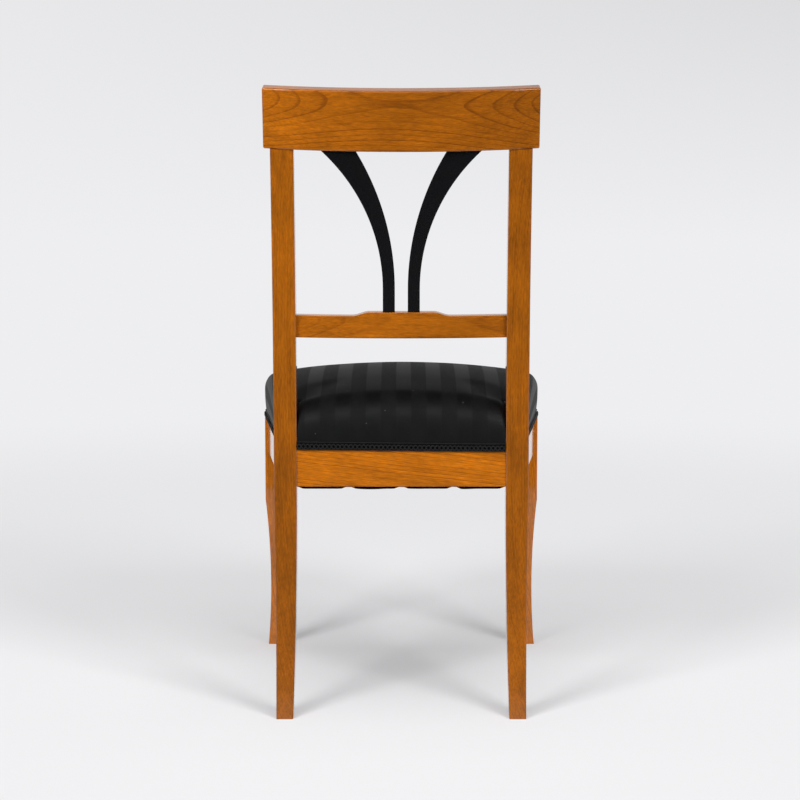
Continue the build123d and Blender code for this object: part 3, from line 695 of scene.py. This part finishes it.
def tube(points, faces, path, radius, sides):
    """Add a round cord along a path to lists of points and faces."""
    start = len(points)
    up = Vector((0, 0, 1))
    for i, p in enumerate(path):
        ahead, behind = path[min(i + 1, len(path) - 1)], path[max(i - 1, 0)]
        along = (ahead - behind).normalized()
        out = along.cross(up).normalized()
        rise = out.cross(along)
        for k in range(sides):
            angle = 2 * math.pi * k / sides
            points.append(p + (out * math.cos(angle) + rise * math.sin(angle)) * radius)
    for i in range(len(path) - 1):
        for k in range(sides):
            a, b = start + i * sides + k, start + i * sides + (k + 1) % sides
            faces.append((a, b, b + sides, a + sides))
    faces.append(tuple(start + k for k in reversed(range(sides))))
    end = start + (len(path) - 1) * sides
    faces.append(tuple(end + k for k in range(sides)))


def braid_mesh(name, line, outward, low, high, tilt):
    """A gimp braid on a line of places in plan: two cords cross to eyes over a tape with corded edges."""
    trim = chair().trim
    sides, eye_steps, waves, eye_fullness = 7, 10, 9, 0.75
    crossing, eye_out, edge_out = 0.4, 0.8, 0.3  # how far out the cords lie, in thicknesses of the cord
    high_edge, low_edge = high - 1.1 * MM, low + 0.8 * MM
    tape_top, tape_bottom = high - 0.6 * MM, low + 0.6 * MM
    lengths = [0.0]
    for a, b in zip(line, line[1:]):
        lengths.append(lengths[-1] + (b - a).length)
    total = lengths[-1]

    def spot(s, out, z):
        """Place at a length along the line, out from the cloth and at a height."""
        s = min(max(s, 0.0), total)
        i = min(bisect.bisect_left(lengths, s, 1), len(line) - 1) - 1
        share = (s - lengths[i]) / (lengths[i + 1] - lengths[i])
        p = line[i].lerp(line[i + 1], share)
        n = outward[i].lerp(outward[i + 1], share).normalized()
        stray = trim.wander * noise.noise(Vector((p.x * waves, p.y * waves, 4.0)))
        return Vector((p.x + n.x * out, p.y + n.y * out, z + stray + tilt * (1 - 2 * s / total)))

    points, faces = [], []
    count = round(total / (trim.eye_pitch / eye_steps))
    few = count // 3
    middle = low + trim.eye_middle
    for sign in (1, -1):
        path = []
        for i in range(count + 1):
            s = total * i / count
            turn = math.pi * s / trim.eye_pitch
            over = sign * crossing * trim.eye_cord * math.cos(turn)
            bow = math.copysign(abs(math.sin(turn)) ** eye_fullness, math.sin(turn))
            out = trim.tape + eye_out * trim.eye_cord + over
            path.append(spot(s, out, middle + sign * trim.eye_rise * bow))
        tube(points, faces, path, trim.eye_cord / 2, sides)
    for z in (high_edge, low_edge):
        path = [spot(total * i / few, trim.tape + edge_out * trim.edge_cord, z) for i in range(few + 1)]
        tube(points, faces, path, trim.edge_cord / 2, sides)
    cords = len(faces)
    start = len(points)
    for i in range(few + 1):
        s = total * i / few
        points += [spot(s, out, z) for out, z in ((trim.tape, tape_top), (trim.tape, tape_bottom),
                                                  (0, tape_bottom), (0, tape_top))]
    for i in range(few):
        a = start + 4 * i
        faces += [(a + k, a + (k + 1) % 4, a + 4 + (k + 1) % 4, a + 4 + k) for k in range(4)]
    faces += [tuple(start + k for k in (3, 2, 1, 0)), tuple(len(points) - 4 + k for k in range(4))]
    mesh = bpy.data.meshes.new(name)
    mesh.from_pydata(points, [], faces)
    for polygon in mesh.polygons[cords:]:
        polygon.material_index = 1
    return mesh


class CHAIR_OT_braid(bpy.types.Operator):
    """Lay the gimp braid along the lower edge of the seat cover"""
    bl_idname = "chair.braid"
    bl_label = "Gimp braid"

    def execute(self, context):
        trim = chair().trim
        cord, tape = twisted_cord(), gimp_tape_in_painted_shade()
        low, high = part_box("back_braid")
        back = [Vector((high.x, low.y)), Vector((low.x, low.y))]
        mesh = braid_mesh("back_braid", back, [Vector((0, 1))] * 2, low.z, high.z, trim.back_tilt)
        new_piece("gimp_braid_back", mesh, cord, "gimp_braid", "back_braid").data.materials.append(tape)
        lines = seat_lines()
        low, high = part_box("front_braid")
        turn = lines["low"].y + chair().seat.corner_radius
        corner_steps, side_step = 12, 5 * MM
        depths = [turn - chair().seat.corner_radius * math.sin(math.pi / 2 * i / corner_steps)
                  for i in range(corner_steps + 1)]
        half = [Vector((side_x(lines, y), y)) for y in [high.y, *between(high.y, turn, side_step), *depths]]
        line = half + [Vector((-p.x, p.y)) for p in reversed(half)]
        outward = []
        for i in range(len(line)):
            step = line[min(i + 1, len(line) - 1)] - line[max(i - 1, 0)]
            outward.append(Vector((-step.y, step.x)).normalized())
        mesh = braid_mesh("front_braid", line, outward, low.z, high.z, 0.0)
        new_piece("gimp_braid_front", mesh, cord, "gimp_braid", "front_braid").data.materials.append(tape)
        return {"FINISHED"}


def evenly(start, end, step):
    """Points from start to just before end, about a step apart."""
    start, end = Vector(start), Vector(end)
    count = max(1, round((end - start).length / step))
    return [start.lerp(end, i / count) for i in range(count)]


def close_hole(mesh, first):
    """Fill the hole inside the last ring of a mesh, whose points start at an index."""
    work = bmesh.new()
    work.from_mesh(mesh)
    work.verts.ensure_lookup_table()
    ring = [e for e in work.edges if e.is_boundary and min(v.index for v in e.verts) >= first]
    bmesh.ops.triangle_fill(work, use_beauty=True, edges=ring, normal=(0, 0, 1))
    work.to_mesh(mesh)
    work.free()


def rim(node):
    """Outline of the underside of a flat CAD node, in order."""
    sheet = bmesh.new()
    sheet.from_mesh(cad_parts[node].data)
    bmesh.ops.remove_doubles(sheet, verts=sheet.verts, dist=0.01 * MM)
    under = {f for f in sheet.faces if f.normal.z < -0.9}
    edges = [e for e in sheet.edges if len([f for f in e.link_faces if f in under]) == 1]
    ways = {}
    for e in edges:
        a, b = e.verts
        ways.setdefault(a, []).append(b)
        ways.setdefault(b, []).append(a)
    start = next(iter(ways))
    loop, last, here = [start], None, start
    while True:
        onward = next(v for v in ways[here] if v is not last)
        if onward is start:
            break
        loop.append(onward)
        last, here = here, onward
    places = [Vector((v.co.x, v.co.y)) for v in loop]
    sheet.free()
    return places


def widened(corners, overlap):
    """An outline with its outer edges moved outwards and its notches left as they are."""
    count = len(corners)
    middle = sum(corners, Vector((0, 0))) / count
    lines = []
    for a, b in zip(corners, corners[1:] + corners[:1]):
        out = Vector((b.y - a.y, a.x - b.x)).normalized()
        out *= math.copysign(1, (a - middle).dot(out))
        outer = all((p - a).dot(out) < 1 * MM for p in corners)
        lines.append((out, a.dot(out) + (overlap if outer else 0.0)))
    places = []
    for i in range(count):
        (n, far), (m, off) = lines[i - 1], lines[i]
        cross = n.x * m.y - n.y * m.x
        if abs(cross) < 0.02:
            places.append(corners[i] + m * (off - corners[i].dot(m)))
        else:
            places.append(Vector((far * m.y - off * n.y, off * n.x - far * m.x)) / cross)
    return places


def ramp(value, start, end):
    """Smooth step from 0 at start to 1 at end."""
    share = min(1.0, max(0.0, (value - start) / (end - start)))
    return share * share * (3 - 2 * share)


def below_webbing(straps, spot):
    """How far a place lies under a strap of webbing: 1 below it, 0 a little beside it."""
    beside = 12 * MM
    shares = [0.0]
    for low, high in straps:
        out = max(low.x - spot.x, spot.x - high.x, low.y - spot.y, spot.y - high.y)
        shares.append(1 - ramp(out, 1 * MM, beside))
    return max(shares)


class CHAIR_OT_bottom_cloth(bpy.types.Operator):
    """Tack the black cloth below the seat, over the ends of the webbing"""
    bl_idname = "chair.bottom_cloth"
    bl_label = "Cloth below the seat"

    def execute(self, context):
        trim = chair().trim
        straps = [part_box(node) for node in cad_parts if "webbing" in node]
        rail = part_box("back_seat_rail")[0].z
        strap = min(low.z for low, high in straps)
        thickness, edge_step, sag_width, waves = 0.5 * MM, 4 * MM, 120 * MM, 26
        corners = widened(rim("bottom_cloth"), trim.overlap)
        plan = []
        for a, b in zip(corners, corners[1:] + corners[:1]):
            plan += evenly(a, b, edge_step)
        middle = (max(p.y for p in plan) + min(p.y for p in plan)) / 2
        heart = Vector((0, middle))
        count, rows, crowding = len(plan), 26, 1.5
        points = []
        for row in range(rows):
            share = (row / rows) ** crowding
            for p in plan:
                spot = p.lerp(heart, share)
                inward = (spot - p).length
                covered = max(below_webbing(straps, spot), ramp(inward, 0, trim.hem_rise))
                loose = max(0.0, noise.noise(Vector((spot.x * waves, spot.y * waves, 1.7))))
                hang = trim.sag * ramp(inward, 0, sag_width) + trim.slack * loose * covered
                points.append((spot.x, spot.y, rail - thickness - (rail - strap) * covered - hang))
        faces = []
        for row in range(rows - 1):
            for i in range(count):
                j = (i + 1) % count
                faces.append((row * count + i, (row + 1) * count + i, (row + 1) * count + j, row * count + j))
        mesh = bpy.data.meshes.new("bottom_cloth")
        mesh.from_pydata(points, [], faces)
        close_hole(mesh, (rows - 1) * count)
        piece = new_piece("cambric_below_seat", mesh, black_cambric(), "black_cambric", "bottom_cloth")
        thick = piece.modifiers.new("Thickness", "SOLIDIFY")
        thick.thickness = thickness
        thick.offset = 0.0
        return {"FINISHED"}


class CHAIR_OT_stage(bpy.types.Operator):
    """Set up the floor, the backdrop, the lights and the camera"""
    bl_idname = "chair.stage"
    bl_label = "Stage"

    def execute(self, context):
        scene = context.scene
        stage, colours = chair().stage, chair().colours
        scene.view_settings.view_transform = "Standard"
        self.set_world(scene, colours)
        self.set_floor(scene, colours)
        # Name, place and width in metres, share of full light. A polish shows no mirror image of the top one.
        for name, place, width, share, mirrored in (
                ("softbox_left", (1.2, 1.7, 1.5), 0.7, stage.left_light, True),
                ("softbox_right", (-1.15, 1.63, 1.47), 0.7, stage.right_light, True),
                ("softbox_top", (0, 1.5, 5.5), 5.0, stage.top_light, False)):
            self.set_light(scene, name, place, width, share).visible_glossy = mirrored
        camera = bpy.data.cameras.new("camera")
        camera.lens = stage.lens
        camera.sensor_width = 36.0
        camera.shift_x = -1.3 / PICTURE  # the chair stands 1.3 pixels off the middle
        eye = bpy.data.objects.new("camera", camera)
        eye.location = (0, stage.camera_back, stage.camera_height)
        eye.rotation_euler = (math.pi / 2 - stage.camera_pitch, 0, math.pi)
        scene.collection.objects.link(eye)
        scene.camera = eye
        return {"FINISHED"}

    def set_world(self, scene, colours):
        """A pale backdrop low down before the chair's front, dim overhead, with a glow behind the camera."""
        world = bpy.data.worlds.new("studio")
        scene.world = world
        world.use_nodes = True
        tree = world.node_tree
        tree.nodes.clear()
        way = add(tree, "TexCoord").outputs["Generated"]
        # The parts of a direction run from -1 to 1: to the picture's left, towards the camera and up
        aside, back, up = add(tree, "SeparateXYZ", (way,)).outputs
        wall = add(tree, "MapRange", {"Value": up, 1: 0.32, 2: 0.54, 3: 0.75, 4: 0.05})
        side = add(tree, "MapRange", {"Value": back, 1: -0.65, 2: 0.05, 3: 1.0, 4: 0.03})
        level = add(tree, "Math", (wall, side), operation="MULTIPLY")
        above = add(tree, "MapRange", {"Value": up, 1: 0.3, 2: 0.45})
        behind = add(tree, "MapRange", {"Value": back, 1: 0.45, 2: 0.7, 4: 1.5})
        glow = add(tree, "Math", (above, behind, level), operation="MULTIPLY_ADD")
        studio = add(tree, "Background", {"Color": (1, 1, 1, 1), "Strength": glow})
        corner = add(tree, "MapRange", {"Value": aside, 1: -0.2, 2: 0.2, 3: 0.84, 4: 0.95})
        rise = add(tree, "MapRange", {"Value": up, 1: -0.04, 2: 0.07, 3: 1.0, 4: corner})
        plain = add(tree, "Background", {"Color": colours.backdrop, "Strength": rise})
        path = add(tree, "LightPath").outputs
        mirrored = add(tree, "Math", (path["Is Glossy Ray"], path["Is Transmission Ray"]),
                       operation="MAXIMUM")
        low_down = add(tree, "Math", (mirrored, level), operation="MULTIPLY")
        shown = add(tree, "Math", (path["Is Camera Ray"], low_down), operation="MAXIMUM")
        mixed = add(tree, "MixShader", (shown, studio, plain))
        add(tree, "OutputWorld", (mixed,))

    def set_floor(self, scene, colours):
        """A pale floor that fades into the backdrop, seen directly or in a polish, and ends by the camera."""
        reach, end = 14.0, 0.95
        mesh = bpy.data.meshes.new("floor")
        corners = [(-reach, -reach, 0), (reach, -reach, 0), (reach, end, 0), (-reach, end, 0)]
        mesh.from_pydata(corners, [], [(0, 1, 2, 3)])
        floor = bpy.data.objects.new("floor", mesh)
        scene.collection.objects.link(floor)
        material, tree, shader = finish_named("painted_studio_floor",
                                              {"Roughness": 0.8, "Specular IOR Level": 0.1})
        place = add(tree, "TexCoord").outputs["Object"]
        far = add(tree, "VectorMath", (place,), operation="LENGTH").outputs["Value"]
        fade = add(tree, "MapRange", {"Value": far, 1: 0.8, 2: 3.4, 3: 0.22, 4: 1.0},
                   interpolation_type="SMOOTHSTEP")
        depth = add(tree, "SeparateXYZ", (place,)).outputs["Y"]
        near = add(tree, "MapRange", {"Value": depth, 1: 0.66, 2: end}, interpolation_type="SMOOTHSTEP")
        tone = add(tree, "MapRange", {"Value": depth, 1: -0.7, 2: 0.6, 3: 0.93, 4: 0.86})
        paint = add(tree, "VectorMath", {0: colours.backdrop[:3], "Scale": tone}, operation="SCALE")
        feed(tree, shader, {"Base Color": paint})
        away = add(tree, "Math", (fade, near), operation="MAXIMUM")
        path = add(tree, "LightPath").outputs
        mirrored = add(tree, "Math", (path["Is Glossy Ray"], path["Is Transmission Ray"]),
                       operation="MAXIMUM")
        direct = add(tree, "Math", (path["Is Camera Ray"], mirrored), operation="MAXIMUM")
        seen = add(tree, "Math", (away, direct), operation="MULTIPLY")
        plain = add(tree, "Emission", {"Color": colours.backdrop, "Strength": 1.0})
        mixed = add(tree, "MixShader", (seen, shader, plain))
        feed(tree, tree.nodes["Material Output"], {"Surface": mixed})
        mesh.materials.append(material)

    def set_light(self, scene, name, place, width, share):
        """A softbox that looks at the chair, with as much light far away as close by."""
        light = bpy.data.lights.new(name, "AREA")
        light.shape = "SQUARE"
        light.size = width
        light.energy = share * math.pi ** 2
        light.use_nodes = True
        tree = light.node_tree
        even = add(tree, "LightFalloff", {"Strength": 1.0}).outputs["Constant"]
        feed(tree, tree.nodes["Emission"], {"Strength": even})
        lamp = bpy.data.objects.new(name, light)
        lamp.location = place
        aim = Vector((0, 0, 0.45))
        look = aim - lamp.location
        lamp.rotation_euler = look.to_track_quat("-Z", "Y").to_euler()
        scene.collection.objects.link(lamp)
        return lamp


class CHAIR_PT_panel(bpy.types.Panel):
    """The steps that dress the chair, in order"""
    bl_idname = "CHAIR_PT_panel"
    bl_label = "Biedermeier chair"
    bl_space_type = "VIEW_3D"
    bl_region_type = "UI"
    bl_category = "Chair"

    def draw(self, context):
        for operator in OPERATORS:
            self.layout.operator(operator.bl_idname)
        for group in (chair().seat, chair().trim, chair().colours, chair().stage):
            box = self.layout.box()
            for name in group.__annotations__:
                box.prop(group, name)


class ChairSettings(bpy.types.PropertyGroup):
    """All settings of the chair."""
    seat: bpy.props.PointerProperty(name="Seat", description="Sizes of the upholstery", type=ChairSeat)
    trim: bpy.props.PointerProperty(name="Trim", description="Sizes of braid and cloth", type=ChairTrim)
    colours: bpy.props.PointerProperty(
        name="Colours", description="Colours of the finishes", type=ChairColours)
    stage: bpy.props.PointerProperty(name="Stage", description="Camera and lights", type=ChairStage)


OPERATORS = (CHAIR_OT_cherry_frame, CHAIR_OT_splats, CHAIR_OT_inner_seat, CHAIR_OT_seat, CHAIR_OT_braid,
             CHAIR_OT_bottom_cloth, CHAIR_OT_stage)
CLASSES = (ChairSeat, ChairTrim, ChairColours, ChairStage, ChairSettings, *OPERATORS, CHAIR_PT_panel)


def register():
    for cls in CLASSES:
        bpy.utils.register_class(cls)
    bpy.types.Scene.chair = bpy.props.PointerProperty(type=ChairSettings)


def unregister():
    del bpy.types.Scene.chair
    for cls in reversed(CLASSES):
        bpy.utils.unregister_class(cls)


def main():
    register()
    bpy.ops.chair.stage()
    bpy.ops.chair.cherry_frame()
    bpy.ops.chair.splats()
    bpy.ops.chair.inner_seat()
    bpy.ops.chair.seat()
    bpy.ops.chair.braid()
    bpy.ops.chair.bottom_cloth()


if __name__ == "__main__":
    main()
